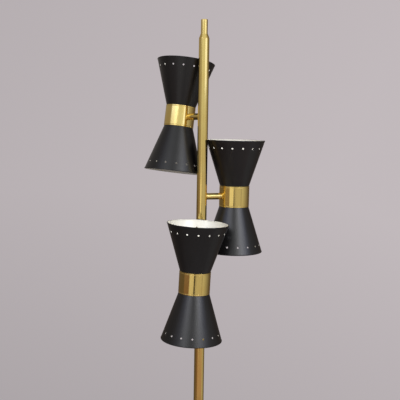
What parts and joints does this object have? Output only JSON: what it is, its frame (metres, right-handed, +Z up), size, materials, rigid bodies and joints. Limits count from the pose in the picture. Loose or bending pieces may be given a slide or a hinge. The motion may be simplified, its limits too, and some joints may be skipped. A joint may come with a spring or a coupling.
{
  "type": "tension pole lamp",
  "caption": "Floor-to-ceiling brass pole wedged by a sprung plunger, with black double-cone heads that swivel on short arms.",
  "frame": {"origin": "on the pole's axis, at the sole of the rubber foot pad, where the lamp meets the floor", "axes": "+Z up the pole; the bottom head's arm points towards -Y, the side the picture was taken from; +X is to the picture's right"},
  "size_m": [0.2898, 0.2999, 2.46],
  "materials": {
    "brass": "satin polished",
    "inner_brass": "plain turned",
    "black_shade": "satin black outside, white enamel inside",
    "steel": "zinc plated",
    "holder": "cream moulded",
    "cap_metal": "bright",
    "opal_glass": "opal white",
    "fibre": "vulcanised fibre",
    "rubber": "matte black"
  },
  "bodies": {
    "pole": {"foot_pad": "rubber", "foot": "brass", "foot_screw": "steel", "cord_bush": "rubber", "lower_tube": "brass", "lower_joiner": "inner_brass", "middle_tube": "brass", "upper_joiner": "inner_brass", "upper_tube": "brass", "top_ferrule": "brass", "spring_seat": "steel", "spring": "steel", "top_arm": "brass", "middle_arm": "brass", "bottom_arm": "brass", "arm_nipples": "inner_brass", "fibre_washers": "fibre", "spring_washers": "steel", "swivel_nuts": "inner_brass"},
    "plunger": {"plunger_guide": "inner_brass", "plunger_tube": "brass", "plunger_nose": "brass"},
    "top_head": {"top_up_shade": "black_shade", "top_down_shade": "black_shade", "top_band": "brass", "top_saddle": "brass", "top_bracket": "steel", "top_holder_nipples": "inner_brass", "top_up_holder": "holder", "top_down_holder": "holder", "top_shade_rings": "holder", "top_bulb_caps": "cap_metal", "top_bulbs": "opal_glass"},
    "middle_head": {"middle_up_shade": "black_shade", "middle_down_shade": "black_shade", "middle_band": "brass", "middle_saddle": "brass", "middle_bracket": "steel", "middle_holder_nipples": "inner_brass", "middle_up_holder": "holder", "middle_down_holder": "holder", "middle_shade_rings": "holder", "middle_bulb_caps": "cap_metal", "middle_bulbs": "opal_glass"},
    "bottom_head": {"bottom_up_shade": "black_shade", "bottom_down_shade": "black_shade", "bottom_band": "brass", "bottom_saddle": "brass", "bottom_bracket": "steel", "bottom_holder_nipples": "inner_brass", "bottom_up_holder": "holder", "bottom_down_holder": "holder", "bottom_shade_rings": "holder", "bottom_bulb_caps": "cap_metal", "bottom_bulbs": "opal_glass"}
  },
  "joints": [
    {"name": "plunger_slide", "type": "slide", "parent": "pole", "child": "plunger", "axis": [0, 0, 1], "range_m": [-0.03, 0], "stiffness_N_per_m": 3500, "springref_m": 0.006, "deforming": ["spring"]},
    {"name": "top_swivel", "type": "hinge", "parent": "pole", "child": "top_head", "pos_m": [-0.05641, 0.06265, 2.236], "axis": [-0.6691, 0.7431, 0], "range_deg": [-10, 75]},
    {"name": "middle_swivel", "type": "hinge", "parent": "pole", "child": "middle_head", "pos_m": [0.07816, 0.03158, 2.048], "axis": [0.9272, 0.3746, 0], "range_deg": [-10, 75]},
    {"name": "bottom_swivel", "type": "hinge", "parent": "pole", "child": "bottom_head", "pos_m": [-0.01319, -0.08326, 1.86], "axis": [-0.1564, -0.9877, 0], "range_deg": [-10, 75]}
  ]
}
